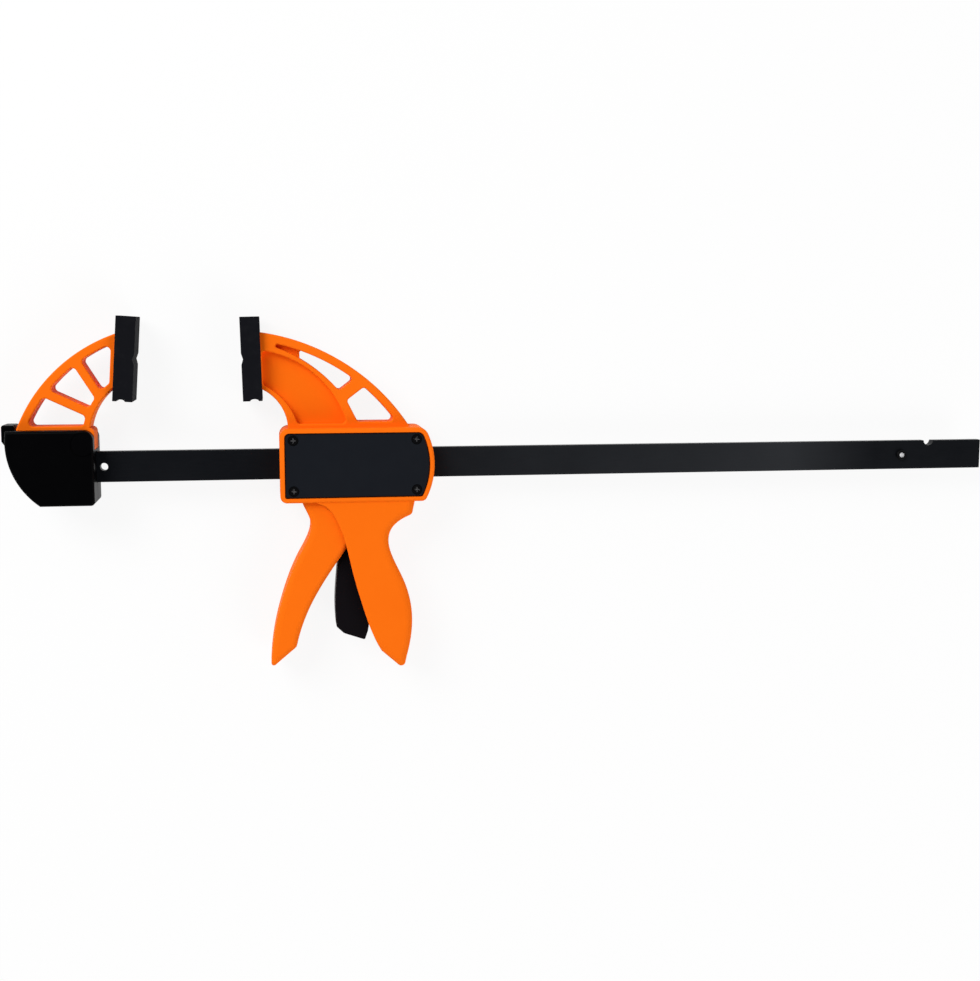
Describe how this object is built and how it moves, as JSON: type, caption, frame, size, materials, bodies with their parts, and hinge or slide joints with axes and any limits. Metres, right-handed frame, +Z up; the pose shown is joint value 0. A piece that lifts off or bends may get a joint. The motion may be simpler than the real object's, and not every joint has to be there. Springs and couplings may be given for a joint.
{
  "type": "quick release bar clamp",
  "caption": "One-handed bar clamp: steel bar, latched fixed jaw, sliding jaw with trigger, pistol handle and release lever, soft pads on both jaws",
  "frame": {"origin": "under the middle of the whole clamp's extents, on the surface it lies on", "axes": "+X runs along the bar from the fixed jaw to its far end, +Y is the way both jaws point, +Z is up out of the clamp's front face; the clamp lies on its rear face"},
  "size_m": [0.5336, 0.1865, 0.03],
  "materials": {
    "orange_plastic": "smooth moulded, slightly glossy",
    "black_plastic": "smooth moulded",
    "cover_plastic": "satin",
    "bar_steel": "black oxide, satin",
    "pad_rubber": "matt",
    "plate_steel": "ground",
    "spring_steel": "bright drawn wire",
    "screw_steel": "black oxide"
  },
  "bodies": {
    "bar_and_fixed_jaw": {"bar": "bar_steel", "stop_pin": "screw_steel", "fixed_jaw_arm": "orange_plastic", "front_housing": "black_plastic", "rear_housing": "black_plastic", "housing_screws": "screw_steel", "latch_pin": "plate_steel", "latch_spring": "spring_steel"},
    "latch": {"latch_lever": "black_plastic"},
    "fixed_pad": {"fixed_pad": "pad_rubber"},
    "sliding_jaw": {"body_frame": "orange_plastic", "front_cover": "cover_plastic", "rear_cover": "cover_plastic", "cover_screws": "screw_steel", "trigger_pin": "plate_steel", "drive_spring": "spring_steel", "brake_spring": "spring_steel"},
    "trigger": {"trigger": "orange_plastic"},
    "drive_plates": {"drive_plate_1": "plate_steel", "drive_plate_2": "plate_steel"},
    "release": {"brake_plate": "plate_steel", "release_lever": "black_plastic", "lever_pin": "plate_steel"},
    "moving_pad": {"moving_pad": "pad_rubber"}
  },
  "joints": [
    {"name": "jaw_slide", "type": "slide", "parent": "bar_and_fixed_jaw", "child": "sliding_jaw", "axis": [1, 0, 0], "range_m": [-0.051, 0.2628]},
    {"name": "trigger_squeeze", "type": "hinge", "parent": "sliding_jaw", "child": "trigger", "pos_m": [-0.11205, 0.02665, 0.015], "axis": [0, 0, 1], "range_deg": [0, 16], "stiffness_Nm_per_rad": 1, "springref_deg": -5.73},
    {"name": "drive_advance", "type": "slide", "parent": "sliding_jaw", "child": "drive_plates", "axis": [1, 0, 0], "range_m": [0, 0.0055], "deforming": ["drive_spring"]},
    {"name": "release_pull", "type": "hinge", "parent": "sliding_jaw", "child": "release", "pos_m": [-0.08005, 0.02895, 0.015], "axis": [0, 0, 1], "range_deg": [0, 5], "stiffness_Nm_per_rad": 1, "springref_deg": -5.73},
    {"name": "latch_press", "type": "hinge", "parent": "bar_and_fixed_jaw", "child": "latch", "pos_m": [-0.24775, 0.02795, 0.015], "axis": [0, 0, 1], "range_deg": [0, 11], "stiffness_Nm_per_rad": 0.2, "springref_deg": -5.73, "deforming": ["latch_spring"]},
    {"name": "fixed_pad_off", "type": "slide", "parent": "bar_and_fixed_jaw", "child": "fixed_pad", "axis": [0.9976, -0.0698, 0], "range_m": [0, 0.012]},
    {"name": "moving_pad_off", "type": "slide", "parent": "sliding_jaw", "child": "moving_pad", "axis": [-0.9997, -0.0244, 0], "range_m": [0, 0.012]}
  ],
  "couplings": [
    {"joint": "drive_advance", "follows": "trigger_squeeze", "m_per_rad": 0.0194}
  ]
}
